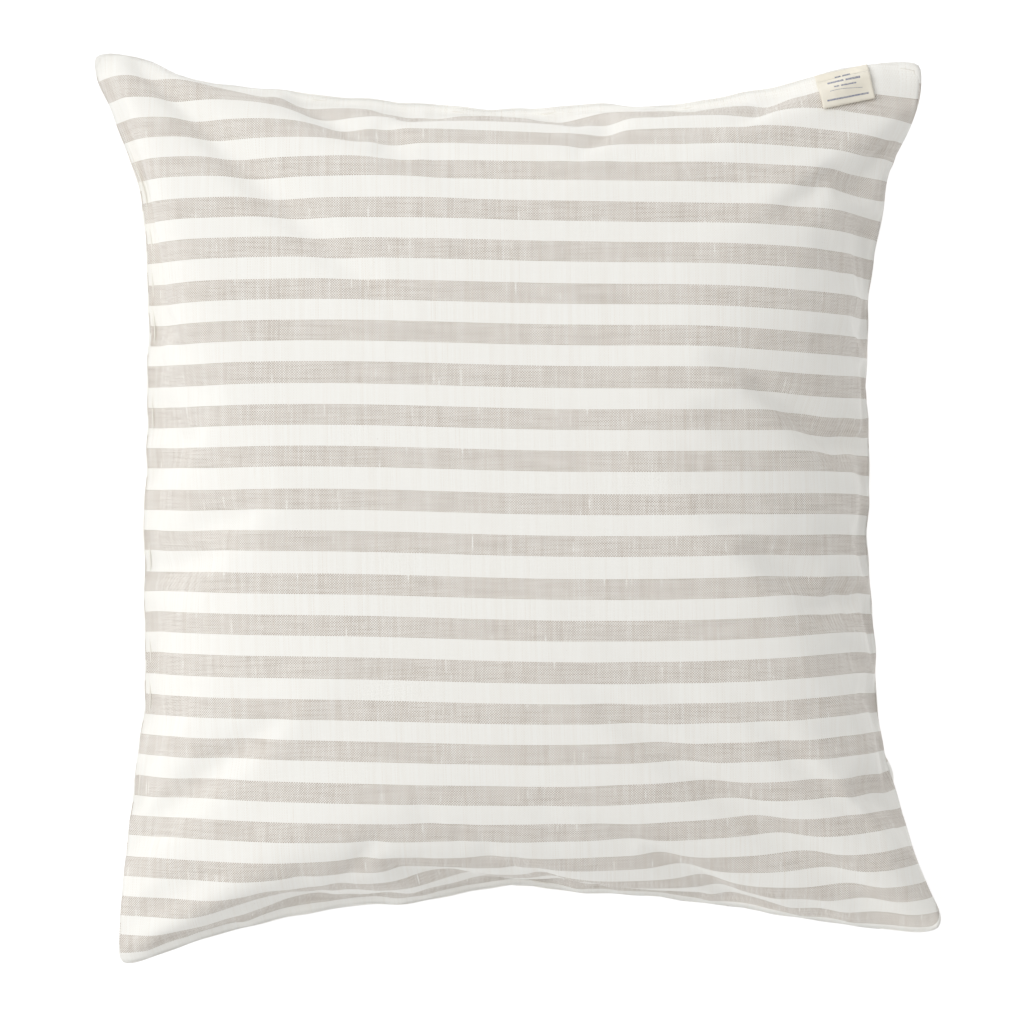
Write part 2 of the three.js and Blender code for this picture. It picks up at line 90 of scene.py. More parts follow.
# %% Helpers: colours, meshes and nodes
def linear(hex_colour, alpha=1.0):
    """An sRGB hex colour as linear RGBA: the sRGB curve undone, channel by channel."""
    srgb = np.array([int(hex_colour[i:i + 2], 16) for i in (0, 2, 4)]) / 255
    low, high = srgb / 12.92, ((srgb + 0.055) / 1.055) ** 2.4
    return (*np.where(srgb <= 0.04045, low, high).tolist(), alpha)


def grid_faces(indices, close_rows=False, close_columns=False):
    """The quads between neighbouring entries of a grid of vertex numbers, optionally joined round."""
    if close_rows:
        indices = np.concatenate([indices, indices[:1]])
    if close_columns:
        indices = np.concatenate([indices, indices[:, :1]], axis=1)
    corners = indices[:-1, :-1], indices[:-1, 1:], indices[1:, 1:], indices[1:, :-1]
    return np.stack(corners, axis=-1).reshape(-1, 4)


def new_mesh(name, points, faces, uv=None, smooth=True):
    """A mesh object at the origin. uv holds one pair for each point, in metres of flat cloth."""
    mesh = bpy.data.meshes.new(name)
    corners = np.asarray(points, float).reshape(-1, 3).tolist()
    mesh.from_pydata(corners, [], [list(face) for face in np.asarray(faces).tolist()])
    if uv is not None:
        corner_points = np.empty(len(mesh.loops), int)
        mesh.loops.foreach_get("vertex_index", corner_points)
        layer = mesh.uv_layers.new(name="cloth")
        layer.data.foreach_set("uv", np.asarray(uv, float).reshape(-1, 2)[corner_points].ravel())
    mesh.polygons.foreach_set("use_smooth", [smooth] * len(mesh.polygons))
    mesh.update()
    piece = bpy.data.objects.new(name, mesh)
    bpy.context.scene.collection.objects.link(piece)
    return piece


def new_material(name):
    """An empty material with its tree, its Principled shader and its output already joined."""
    material = bpy.data.materials.new(name)
    material.use_nodes = True
    tree = material.node_tree
    return material, tree, tree.nodes["Principled BSDF"]


def add_node(tree, kind, settings=None, links=None):
    """One node of a kind. settings are its properties, or its sockets by number or name; links are
    its inputs by number or name, each fed by an output socket of another node."""
    node = tree.nodes.new(kind)
    for key, value in (settings or {}).items():
        if isinstance(key, str) and hasattr(node, key):
            setattr(node, key, value)
        else:
            node.inputs[key].default_value = value
    for key, source in (links or {}).items():
        tree.links.new(source, node.inputs[key])
    return node


# %% [markdown]
# The outline. The four seams were straight when the cover was cut, and the filling has pulled them
# in. Each one is a smooth curve through a few points, from corner to corner, and is then cut into
# equal lengths, because the cloth's threads are spread evenly along its seam.

# %% The four seams, as they lie
TOP_LEFT, TOP_RIGHT = (-243, 260.5), (232, 256)
BOTTOM_LEFT, BOTTOM_RIGHT = (-227, -261), (243, -241)
SEAM_POINTS = {                # in mm, between the corners
    "left": [(-229, -252), (-226, -212), (-221, -165), (-214, -105), (-214.5, -20), (-213, 30),
             (-212, 120), (-216, 178), (-231, 224), (-241, 246)],
    "right": [(244, -232), (233, -208), (219, -165), (208, -120), (206, -70), (202, -30), (203, 20),
              (201.5, 70), (203, 125), (211, 172), (213, 190), (229, 226), (233, 246)],
    "bottom": [(-216, -260), (-180, -247), (-112, -230.5), (-60, -226), (-22, -219), (8, -216),
               (40, -221), (75, -222), (140, -231), (190, -239), (230, -243)],
    "top": [(-232, 262.5), (-208, 257), (-182, 246), (-130, 241), (-100, 237), (-50, 233.5),
            (-12, 230), (40, 233), (85, 232.5), (140, 241.5), (190, 254), (222, 257.5)],
}


def smooth_curve(points, count):
    """count points at equal distances along a Catmull-Rom curve: between two points it is a cubic
    whose slope at each of them is half the step from the point before to the point after."""
    p = np.array(points, float)
    p = np.concatenate([[2 * p[0] - p[1]], p, [2 * p[-1] - p[-2]]])
    t = np.linspace(0, 1, 60, endpoint=False)[:, None]
    a, b, c, d = p[:-3], p[1:-2], p[2:-1], p[3:]
    pieces = [0.5 * (2 * b[i] + (c[i] - a[i]) * t + (2 * a[i] - 5 * b[i] + 4 * c[i] - d[i]) * t ** 2
                     + (3 * b[i] - a[i] - 3 * c[i] + d[i]) * t ** 3) for i in range(len(a))]
    curve = np.concatenate([*pieces, p[-2:-1]])
    run = np.concatenate([[0], np.cumsum(np.linalg.norm(np.diff(curve, axis=0), axis=1))])
    even = np.linspace(0, run[-1], count)
    return np.stack([np.interp(even, run, curve[:, k]) for k in (0, 1)], axis=-1)


# %% [markdown]
# The flat cloth. The cover was cut 492 mm wide and 540 mm high: the height is 45 stripes of 12 mm.
# The panels are grids of about 6 mm cells, and each point keeps its place in the flat cloth, which
# later becomes the UV map that the weave and the stripes follow.

# %% The flat panels
CUT_WIDTH, CUT_HEIGHT = 492 * MM, 540 * MM
STRIPE = 12 * MM
COLUMNS, ROWS = 82, 90
ZIP_ROW = 10                   # the grid row that the zip lies along, on the back
ZIP_UP = 62 * MM               # the zip's line, up from the bottom seam along the cloth

flat_x = np.linspace(-CUT_WIDTH / 2, CUT_WIDTH / 2, COLUMNS + 1)
flat_y = np.concatenate([
    np.linspace(-CUT_HEIGHT / 2, -CUT_HEIGHT / 2 + ZIP_UP, ZIP_ROW + 1)[:-1],
    np.linspace(-CUT_HEIGHT / 2 + ZIP_UP, CUT_HEIGHT / 2, ROWS - ZIP_ROW + 1)])
flat = np.stack(np.meshgrid(flat_x, flat_y), axis=-1)      # [row, column] -> x, y on the cut cloth

seams = {side: smooth_curve(points, count) * MM for side, points, count in [
    ("left", [BOTTOM_LEFT, *SEAM_POINTS["left"], TOP_LEFT], ROWS + 1),
    ("right", [BOTTOM_RIGHT, *SEAM_POINTS["right"], TOP_RIGHT], ROWS + 1),
    ("bottom", [BOTTOM_LEFT, *SEAM_POINTS["bottom"], BOTTOM_RIGHT], COLUMNS + 1),
    ("top", [TOP_LEFT, *SEAM_POINTS["top"], TOP_RIGHT], COLUMNS + 1)]}
for side in ("left", "right"):  # spread by the flat rows, which are not quite even
    even = np.linspace(0, 1, ROWS + 1)
    share = (flat_y - flat_y[0]) / CUT_HEIGHT
    seams[side] = np.stack([np.interp(share, even, seams[side][:, k]) for k in (0, 1)], axis=-1)


# Sewing gathers a seam slightly, so it ripples: waves of a few lengths, up to a millimetre or two, in
# the plane of the seam and out of it, that die away at the corners.
RIPPLES = np.array([27, 44, 71]) * MM


def ripple(points, height):
    """The ripple of a seam at each point: three sine waves of its length, from seeded phases."""
    run = np.concatenate([[0], np.cumsum(np.linalg.norm(np.diff(points, axis=0), axis=1))])
    waves = np.sin(2 * math.pi * (run[:, None] / RIPPLES + rng.random(3))).sum(axis=1) / 2
    return height * waves * np.sin(math.pi * run / run[-1]) ** 0.5


lifts = {side: ripple(points, 1.9 * MM) for side, points in seams.items()}
for side, points in seams.items():
    along = np.gradient(points, axis=0)
    across = np.stack([-along[:, 1], along[:, 0]], axis=-1)
    across /= np.linalg.norm(across, axis=1, keepdims=True)
    seams[side] = points + across * ripple(points, 0.7 * MM)[:, None]


def coons(seams):
    """The plan of every grid point: the blend from left to right, plus the blend from bottom to top,
    less the blend of the four corners, which both of them count."""
    s = ((flat[..., 0] / CUT_WIDTH) + 0.5)[..., None]
    t = ((flat[..., 1] / CUT_HEIGHT) + 0.5)[..., None]
    across = (1 - s) * seams["left"][:, None] + s * seams["right"][:, None]
    upward = (1 - t) * seams["bottom"][None] + t * seams["top"][None]
    corners = ((1 - s) * (1 - t) * seams["left"][0] + s * (1 - t) * seams["right"][0]
               + (1 - s) * t * seams["left"][-1] + s * t * seams["right"][-1])
    return across + upward - corners


plan = coons(seams)
for side in seams:
    length = np.linalg.norm(np.diff(seams[side], axis=0), axis=1).sum()
    print(f"{side} seam lies {length * 1000:.0f} mm long")


# %% [markdown]
# The zip holds the back panel to its own line. Closed, it follows an arc, and it turns about one line
# parallel to Y: that is the joint that the slider runs on. The slot's two edges, and a row of cloth
# beyond each, are placed from the same arc, so the cloth meets the zip exactly where it was designed.

# %% The zip's arc
ZIP_LENGTH = 360 * MM
ZIP_TILT = math.radians(30)
SLOT_HALF = 5 * MM             # half the width that shows the teeth
TAPE_WIDTH = 12 * MM
zip_axis = np.array(joints["zip_slide"]["pos_m"], float)
ZIP_RADIUS = 700 * MM


def zip_points(along, across, out=0.0):
    """Points by distance along the zip, across it towards the bottom seam, and out of the cloth: the
    tilted cross-section at the middle, turned about the joint's axis by the distance over the radius."""
    along, across, out = np.broadcast_arrays(along, across, out)
    y = zip_axis[1] - across * math.cos(ZIP_TILT) - out * math.sin(ZIP_TILT)
    radius = ZIP_RADIUS - across * math.sin(ZIP_TILT) + out * math.cos(ZIP_TILT)
    angle = along / ZIP_RADIUS
    return np.stack([radius * np.sin(angle), y, zip_axis[2] - radius * np.cos(angle)], axis=-1)


# %% [markdown]
# Filling the cover. Blender's cloth solver blows the flat panels up like the insert does, with the
# seams held on their curves. The rest shape that the threads want to keep is the flat cut, stored as
# a shape key. The seams lie a little shorter than they were cut, so the panels pucker next to them,
# as real ones do. The pressure is lower in the ears, where the insert does not reach.

# %% Simulate the filled cover
GRID = (ROWS + 1) * (COLUMNS + 1)
front_ids = np.arange(GRID).reshape(ROWS + 1, COLUMNS + 1)
on_seam = np.ones((ROWS + 1, COLUMNS + 1), bool)
on_seam[1:-1, 1:-1] = False
back_ids = front_ids.copy()
back_ids[~on_seam] = GRID + np.arange((~on_seam).sum())

ZIP_SEWN = 8 * MM              # past each end, where the slot has closed
in_slot = np.abs(flat_x) < ZIP_LENGTH / 2 + ZIP_SEWN
upper_edge_ids = back_ids[ZIP_ROW].copy()                  # the slot's upper edge is a second row
upper_edge_ids[in_slot] = GRID + (~on_seam).sum() + np.arange(in_slot.sum())
slot_half = SLOT_HALF * np.clip((ZIP_LENGTH / 2 + ZIP_SEWN - np.abs(flat_x)) / ZIP_SEWN, 0, 1)

s, t = 2 * flat[..., 0] / CUT_WIDTH, 2 * flat[..., 1] / CUT_HEIGHT
crown = (np.maximum((1 - np.abs(s) ** 2.2) * (1 - np.abs(t) ** 2.2), 0)
         ** (0.28 + 0.42 * np.abs(s * t)))
START_CROWN = 60 * MM

front_start = np.dstack([plan, SEAM_HEIGHT + START_CROWN * crown])
back_start = np.dstack([plan, SEAM_HEIGHT - START_CROWN * crown])
front_flat = np.dstack([flat, np.zeros_like(s)])
back_flat = front_flat.copy()

count = GRID + int((~on_seam).sum()) + int(in_slot.sum())
start, rest, pinned = np.zeros((count, 3)), np.zeros((count, 3)), np.zeros(count)
for ids, at, flat_at in ((back_ids, back_start, back_flat), (front_ids, front_start, front_flat)):
    start[ids] = at
    rest[ids] = flat_at
pinned[front_ids[on_seam]] = 1
for ids, side in ((front_ids[:, 0], "left"), (front_ids[:, -1], "right"),
                  (front_ids[0], "bottom"), (front_ids[-1], "top")):
    start[ids, 2] = SEAM_HEIGHT + lifts[side]

zip_columns = np.flatnonzero(in_slot)
near_zip = np.flatnonzero(np.abs(flat_x) < ZIP_LENGTH / 2 + 3 * ZIP_SEWN)
for ids, across in (
        (back_ids[ZIP_ROW], slot_half), (upper_edge_ids, -slot_half),
        (back_ids[ZIP_ROW - 1], slot_half + 6.2 * MM), (back_ids[ZIP_ROW + 1], -slot_half - 6.0 * MM),
        (back_ids[ZIP_ROW + 2], -slot_half - 12.0 * MM)):
    start[ids[near_zip]] = zip_points(flat_x, across)[near_zip]
    pinned[ids[near_zip]] = 1
rest[back_ids[ZIP_ROW], 1] = flat_y[ZIP_ROW] - slot_half
rest[upper_edge_ids[zip_columns]] = np.stack(
    [flat_x, flat_y[ZIP_ROW] + slot_half, np.zeros_like(flat_x)], axis=-1)[zip_columns]
rest[upper_edge_ids[~in_slot], 1] = flat_y[ZIP_ROW]

upper_rows = np.concatenate([upper_edge_ids[None], back_ids[ZIP_ROW + 1:]])
slot_faces = grid_faces(np.stack([back_ids[ZIP_ROW], upper_edge_ids])[:, zip_columns])
slot_ends = [[back_ids[ZIP_ROW, zip_columns[0] - 1], back_ids[ZIP_ROW, zip_columns[0]],
              upper_edge_ids[zip_columns[0]]],
             [back_ids[ZIP_ROW, zip_columns[-1]], back_ids[ZIP_ROW, zip_columns[-1] + 1],
              upper_edge_ids[zip_columns[-1]]]]
bag_faces = [*grid_faces(front_ids).tolist(),
             *grid_faces(back_ids[:ZIP_ROW + 1])[:, ::-1].tolist(),
             *grid_faces(upper_rows)[:, ::-1].tolist(),
             *slot_faces[:, ::-1].tolist(), *[f[::-1] for f in slot_ends]]

corner_distance = np.hypot(CUT_WIDTH / 2 - np.abs(flat[..., 0]), CUT_HEIGHT / 2 - np.abs(flat[..., 1]))
push = np.clip((corner_distance - 20 * MM) / (90 * MM), 0.12, 1)

SIM_FRAMES, GATHER_FRAMES = 50, 14
PRESSURE = 9.0
flat_bag = rest.copy()
flat_bag[:, 2] = np.sign(start[:, 2] - SEAM_HEIGHT) * 1 * MM + SEAM_HEIGHT


def simulate():
    """The bag's points after the cloth has settled."""
    mesh = bpy.data.meshes.new("bag")
    mesh.from_pydata(flat_bag.tolist(), [], bag_faces)
    bag = bpy.data.objects.new("bag", mesh)
    bpy.context.scene.collection.objects.link(bag)
    bag.shape_key_add(name="flat cut")
    laid = bag.shape_key_add(name="as it lies")
    laid.data.foreach_set("co", start.ravel())
    for number, value in ((1, 0.0), (GATHER_FRAMES, 1.0)):
        laid.value = value
        laid.keyframe_insert("value", frame=number)
    pins = bag.vertex_groups.new(name="pins")
    pins.add(np.flatnonzero(pinned > 0).tolist(), 1.0, "REPLACE")
    pressed = bag.vertex_groups.new(name="pressed")
    levels = np.ones(count)
    levels[front_ids] = push
    levels[back_ids] = push
    for level in np.unique(np.round(levels, 2)):
        pressed.add(np.flatnonzero(np.round(levels, 2) == level).tolist(), float(level), "REPLACE")
    cloth = bag.modifiers.new("cloth", "CLOTH")
    settings = cloth.settings
    settings.quality = 6
    settings.mass = 0.3 * 4225 / count / 4
    settings.tension_stiffness = settings.compression_stiffness = 30
    settings.shear_stiffness = 5
    settings.bending_stiffness = 2.0
    settings.tension_damping = settings.compression_damping = settings.shear_damping = 5
    settings.bending_damping = 0.5
    settings.air_damping = 2
    settings.use_pressure = True
    settings.uniform_pressure_force = PRESSURE
    settings.vertex_group_pressure = "pressed"
    settings.vertex_group_mass = "pins"
    settings.effector_weights.gravity = 0
    cloth.collision_settings.use_collision = False
    cloth.point_cache.frame_start, cloth.point_cache.frame_end = 1, SIM_FRAMES
    scene = bpy.context.scene
    scene.frame_start, scene.frame_end = 1, SIM_FRAMES
    for number in range(1, SIM_FRAMES + 1):
        scene.frame_set(number)
    evaluated = bag.evaluated_get(bpy.context.evaluated_depsgraph_get())
    settled = np.empty(count * 3)
    evaluated.data.vertices.foreach_get("co", settled)
    bpy.data.objects.remove(bag)
    scene.frame_set(1)
    return settled.reshape(-1, 3)


settled = simulate()
front, back = settled[front_ids], settled[back_ids]
# The inflated front comes out taller than the designed crown, so it is scaled down towards it.
LOFT = 0.93
over = settled[:, 2] > SEAM_HEIGHT
settled[over, 2] = SEAM_HEIGHT + LOFT * (settled[over, 2] - SEAM_HEIGHT)
print("crowns over and under the seams, mm:", round((front[..., 2].max() - SEAM_HEIGHT) * 1000),
      round((SEAM_HEIGHT - back[..., 2].min()) * 1000))


# %% [markdown]
# The pillow rests on its back. Its own weight flattens the belly against the table, so every point
# below the table is brought up to it, gently enough to leave no ridge where the contact begins.

# %% Set it on the table
CONTACT = 4 * MM


def on_table(z):
    """z where it is well over zero, and just over zero where it was under: half of z plus the
    square root of z squared plus the contact length squared."""
    return 0.5 * (z + np.sqrt(z ** 2 + CONTACT ** 2))


held = pinned > 0                                # the seams and the zip stay where they are
settled[:, 2] = np.where(held, settled[:, 2], on_table(settled[:, 2]))
front_points, back_points = settled[front_ids], settled[back_ids]
upper_points = settled[upper_rows]
lower_points = back_points[:ZIP_ROW + 1]


def grid_normals(points):
    """Unit normals of a grid: across its columns, crossed with up its rows."""
    normals = np.cross(np.gradient(points, axis=1), np.gradient(points, axis=0))
    return normals / np.maximum(np.linalg.norm(normals, axis=-1, keepdims=True), 1e-12)


# %% [markdown]
# The linen. It is a plain weave: every white warp thread, running up the pillow, goes over one weft
# thread and under the next. The weft is white in the light stripes and undyed flax in the others, so
# a dark stripe is really a fine chequer of flax and white. Linen thread is uneven. A slub is a thick
# place a few centimetres long, and it covers more of its neighbours. The mask below gives each thread
# a rounded height and shows whichever of the two is higher, so the stripes get true toothed edges.

# %% Linen
THREAD = 0.74 * MM
WHITE_THREAD, CREAM_THREAD = "f9f8f3", "efeae1"
FLAX_DARK, FLAX_LIGHT = "ab9e91", "d9d0c7"


def maths(tree, operation, *inputs, clamp=False):
    """One Math node. A number is set on its socket, and anything else is linked to it."""
    node = tree.nodes.new("ShaderNodeMath")
    node.operation, node.use_clamp = operation, clamp
    for number, value in enumerate(inputs):
        if isinstance(value, (int, float)):
            node.inputs[number].default_value = value
        else:
            tree.links.new(value, node.inputs[number])
    return node.outputs[0]


def cloth_coordinates(tree):
    """x and y of the flat cloth, in metres, from the mesh's cloth map."""
    uv = add_node(tree, "ShaderNodeUVMap", {"uv_map": "cloth"})
    apart = add_node(tree, "ShaderNodeSeparateXYZ", links={0: uv.outputs[0]})
    return apart.outputs[0], apart.outputs[1]


def noise(tree, x, y, scale_x, scale_y, detail=2.0, seed=0.0):
    """Noise from about 0 to 1, with its own scale, per metre, along x and along y."""
    point = add_node(tree, "ShaderNodeCombineXYZ", {2: seed}, {
        0: maths(tree, "MULTIPLY", x, scale_x), 1: maths(tree, "MULTIPLY", y, scale_y)})
    return add_node(tree, "ShaderNodeTexNoise", {"Scale": 1.0, "Detail": detail},
                    {"Vector": point.outputs[0]}).outputs["Fac"]


def mix(tree, factor, a, b):
    """One colour mixed into another."""
    node = add_node(tree, "ShaderNodeMix", {"data_type": "RGBA"})
    for socket, value in ((node.inputs[0], factor), (node.inputs[6], a), (node.inputs[7], b)):
        if isinstance(value, (int, float, tuple)):
            socket.default_value = value
        else:
            tree.links.new(value, socket)
    return node.outputs[2]


def weave(tree, x, y, pitch, slub=0.7):
    """The two heights of a plain weave, and the number of the thread at x and at y. A thread's height
    is a half sine across it, raised where it passes over and lowered where it passes under."""
    warp, weft = maths(tree, "DIVIDE", x, pitch), maths(tree, "DIVIDE", y, pitch)
    warp_number, weft_number = maths(tree, "FLOOR", warp), maths(tree, "FLOOR", weft)
    parity = maths(tree, "PINGPONG", maths(tree, "ADD", warp_number, weft_number), 1.0)
    over = maths(tree, "SUBTRACT", maths(tree, "MULTIPLY", parity, 2.0), 1.0)
    heights = []
    for place, number, along, sign in ((warp, warp_number, y, 1.0), (weft, weft_number, x, -1.0)):
        round_top = maths(tree, "ABSOLUTE", maths(tree, "SINE", maths(tree, "MULTIPLY", place, math.pi)))
        uneven = maths(tree, "SUBTRACT", noise(tree, number, along, 3.7, 45.0, 2.0, sign), 0.5)
        lift = maths(tree, "MULTIPLY", over, 0.35 * sign)
        size = maths(tree, "ADD", maths(tree, "MULTIPLY_ADD", uneven, slub * 2, 1.0), lift)
        heights.append(maths(tree, "MULTIPLY", round_top, size))
    return (*heights, warp_number, weft_number)


def linen():
    """Striped washed linen."""
    material, tree, shader = new_material("washed linen, striped")
    x, y = cloth_coordinates(tree)
    warp_height, weft_height, warp_number, weft_number = weave(tree, x, y, THREAD)
    # The stripes change at a weft thread, so the thread's own middle decides its colour.
    thread_y = maths(tree, "MULTIPLY", maths(tree, "ADD", weft_number, 0.5), THREAD)
    stripe = maths(tree, "FLOOR", maths(tree, "DIVIDE", maths(tree, "ADD", thread_y, CUT_HEIGHT / 2), STRIPE))
    dark = maths(tree, "PINGPONG", stripe, 1.0)
    flax_tone = noise(tree, weft_number, x, 5.3, 30.0, 3.0, 7.0)
    flax = mix(tree, maths(tree, "MULTIPLY_ADD", flax_tone, 1.6, -0.4, clamp=True),
               linear(FLAX_DARK), linear(FLAX_LIGHT))
    weft_colour = mix(tree, dark, linear(WHITE_THREAD), flax)
    warp_tone = noise(tree, warp_number, y, 4.1, 12.0, 2.0, 3.0)
    warp_tone = maths(tree, "MULTIPLY_ADD", warp_tone, 2.4, -0.5, clamp=True)
    warp_colour = mix(tree, warp_tone, linear(CREAM_THREAD), linear(WHITE_THREAD))
    difference = maths(tree, "SUBTRACT", warp_height, weft_height)
    # A few warp threads carry long slubs, which hide the weft almost completely.
    slub = noise(tree, warp_number, y, 9.7, 55.0, 1.0, 17.0)
    slub = maths(tree, "MULTIPLY", maths(tree, "SUBTRACT", slub, 0.68), 9.0, clamp=True)
    difference = maths(tree, "ADD", difference, slub)
    # Whole groups of warp threads lie slightly closer or wider, which the eye reads as soft streaks.
    crowding = noise(tree, x, y, 260.0, 14.0, 3.0, 23.0)
    difference = maths(tree, "ADD", difference, maths(tree, "MULTIPLY_ADD", crowding, 0.9, -0.45))
    warp_shows = maths(tree, "MULTIPLY_ADD", difference, 6.0, 0.5, clamp=True)
    colour = mix(tree, warp_shows, weft_colour, warp_colour)
    speck = noise(tree, x, y, 900.0, 700.0, 1.0, 11.0)
    speck = maths(tree, "MULTIPLY", maths(tree, "SUBTRACT", speck, 0.77), 9.0, clamp=True)
    colour = mix(tree, maths(tree, "MULTIPLY", speck, 0.6), colour, linear("8d7d69"))
    tree.links.new(colour, shader.inputs["Base Color"])
    height = maths(tree, "MAXIMUM", warp_height, weft_height)
    bump = add_node(tree, "ShaderNodeBump", {"Strength": 0.5, "Distance": 0.12 * MM}, {"Height": height})
    tree.links.new(bump.outputs[0], shader.inputs["Normal"])
    shader.inputs["Roughness"].default_value = 0.9
    shader.inputs["Specular IOR Level"].default_value = 0.25
    shader.inputs["Sheen Weight"].default_value = 0.15
    shader.inputs["Sheen Roughness"].default_value = 0.5
    return material


linen_material = linen()


# %% [markdown]
# The cover's three panels: the front, the back above the zip, and the back below it. Each is a single
# layer of cloth half a millimetre thick, turned inwards from the surface that the simulation gave.

# %% The cover
CLOTH_THICKNESS = 0.5 * MM

# The front panel has slid a little down over the filling, and further on the right, so its stripes
# run slightly uphill. It can't slide at its seams.
slide = (12.3 + 4.7 * np.tanh((flat[..., 0] / MM + 35) / 90)) * MM
slide *= (1 - np.exp((flat[..., 1] - CUT_HEIGHT / 2) / (25 * MM))) \
    * (1 - 0.6 * np.exp((-flat[..., 1] - CUT_HEIGHT / 2) / (12 * MM)))
slid = flat + slide[..., None] * [0, 1]


def cloth_panel(name, points, uv, outward, material, thickness=CLOTH_THICKNESS, levels=1):
    """A panel of cloth on a grid of points. outward is 1 where the grid already faces out."""
    faces = grid_faces(np.arange(points[..., 0].size).reshape(points.shape[:2]))
    piece = new_mesh(name, points, faces[:, ::outward], uv)
    subdivision = piece.modifiers.new("smooth", "SUBSURF")
    subdivision.levels = subdivision.render_levels = levels
    solid = piece.modifiers.new("thickness", "SOLIDIFY")
    solid.thickness, solid.offset = thickness, -1
    piece.data.materials.append(material)
    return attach(piece, "pillow")


cover_front = cloth_panel("cover_front_linen", front_points, slid, 1, linen_material)
cover_upper = cloth_panel("cover_back_upper_linen", upper_points, flat[ZIP_ROW:], -1, linen_material)
cover_lower = cloth_panel("cover_back_lower_linen", lower_points, flat[:ZIP_ROW + 1], -1, linen_material)
for piece, node, size in ((cover_front, "cover_front", (CUT_WIDTH, CUT_HEIGHT)),
                          (cover_upper, "cover_back_upper", (CUT_WIDTH, CUT_HEIGHT - ZIP_UP)),
                          (cover_lower, "cover_back_lower", (CUT_WIDTH, ZIP_UP))):
    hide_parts(node)


# %% [markdown]
# The insert. A casing of plain cotton, two panels sewn together, lies a few millimetres inside the
# cover all over, and its own seam runs a little inside the cover's. It is stuffed with fibre. Both
# follow the surface of the cover, moved inwards along its normals, and closed where they reach the
# insert's seam by bringing the front and the back together.

# %% Inside the cover
CASING_DEPTH, FILLING_DEPTH = 4 * MM, 8 * MM
CASING_EDGE, FILLING_EDGE = 3, 5                 # grid cells in from the cover's seam


def inner_layer(depth, edge):
    """The cover's front and back moved inwards by a depth, from so many cells inside the seam."""
    inside = np.s_[edge:-edge, edge:-edge]
    layers = [(front_points - depth * grid_normals(front_points))[inside],
              (back_points + depth * grid_normals(back_points))[inside]]
    middle = (layers[0] + layers[1]) / 2
    rim = np.ones(middle.shape[:2], bool)
    rim[1:-1, 1:-1] = False
    for layer in layers:
        layer[rim] = middle[rim]
    return layers


def loop_of(grid):
    """The rim of a grid, anticlockwise, as one closed row."""
    return np.concatenate([grid[0, :-1], grid[:-1, -1], grid[-1, :0:-1], grid[:0:-1, 0]])


def tube(name, path, radius, sides, closed=False):
    """A thread of round section along a path of points, with its frame turned from +Z."""
    path = np.asarray(path, float)
    if closed:
        run = np.roll(path, -1, 0) - np.roll(path, 1, 0)
    else:
        run = np.gradient(path, axis=0)
    run /= np.linalg.norm(run, axis=1, keepdims=True)
    side = np.cross(run, [0, 0, 1.0])
    side /= np.maximum(np.linalg.norm(side, axis=1, keepdims=True), 1e-9)
    up = np.cross(side, run)
    turn = np.linspace(0, 2 * math.pi, sides, endpoint=False)[None, :, None]
    rings = path[:, None] + radius * (side[:, None] * np.cos(turn) + up[:, None] * np.sin(turn))
    faces = grid_faces(np.arange(len(path) * sides).reshape(-1, sides), closed, True)
    return new_mesh(name, rings, faces)


def plain_cotton():
    """Unbleached cotton: the same plain weave as the linen, but even and fine."""
    material, tree, shader = new_material("cotton cambric")
    x, y = cloth_coordinates(tree)
    warp, weft, *_ = weave(tree, x, y, 0.4 * MM, 0.15)
    bump = add_node(tree, "ShaderNodeBump", {"Strength": 0.4, "Distance": 0.06 * MM},
                    {"Height": maths(tree, "MAXIMUM", warp, weft)})
    tree.links.new(bump.outputs[0], shader.inputs["Normal"])
    shader.inputs["Base Color"].default_value = linear("efeae0")
    shader.inputs["Roughness"].default_value = 0.85
    return material


def plain_material(name, colour, roughness, **sockets):
    """A material of one colour, with other Principled sockets by name."""
    material, tree, shader = new_material(name)
    shader.inputs["Base Color"].default_value = linear(colour)
    shader.inputs["Roughness"].default_value = roughness
    for key, value in sockets.items():
        shader.inputs[key.replace("_", " ")].default_value = value
    return material


thread_material = plain_material("spun polyester thread", "efece4", 0.6, Sheen_Weight=0.3)
cotton_material = plain_cotton()
casing_front, casing_back = inner_layer(CASING_DEPTH, CASING_EDGE)
casing_flat = flat[CASING_EDGE:-CASING_EDGE, CASING_EDGE:-CASING_EDGE]
for points, outward, node in ((casing_front, 1, "insert_casing_front"),
                              (casing_back, -1, "insert_casing_back")):
    casing = cloth_panel(node + "_cotton", points, casing_flat, outward, cotton_material, 0.4 * MM, 0)
    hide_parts(node)

insert_seam = tube("insert_seam_stitches", loop_of(casing_front) * [0.995, 0.995, 1], 0.35 * MM, 6,
                   closed=True)
cover_seam = tube("cover_seam_stitches", loop_of(front_points) * [0.985, 0.985, 1], 0.4 * MM, 6, closed=True)
for piece, node in ((insert_seam, "insert_seam_thread"), (cover_seam, "cover_seam_thread")):
    piece.data.materials.append(thread_material)
    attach(piece, "pillow")
    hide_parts(node)

filling_front, filling_back = inner_layer(FILLING_DEPTH, FILLING_EDGE)
rows, columns = filling_front.shape[:2]
top_ids = np.arange(rows * columns).reshape(rows, columns)
bottom_ids = top_ids + rows * columns
bottom_ids[[0, -1]], bottom_ids[:, [0, -1]] = top_ids[[0, -1]], top_ids[:, [0, -1]]
filling = new_mesh("fibre_filling", np.concatenate([filling_front, filling_back]),
                   np.concatenate([grid_faces(top_ids), grid_faces(bottom_ids)[:, ::-1]]))
filling.data.materials.append(plain_material("polyester fibre", "f7f7f5", 1.0, Sheen_Weight=0.5))
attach(filling, "pillow")
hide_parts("filling")


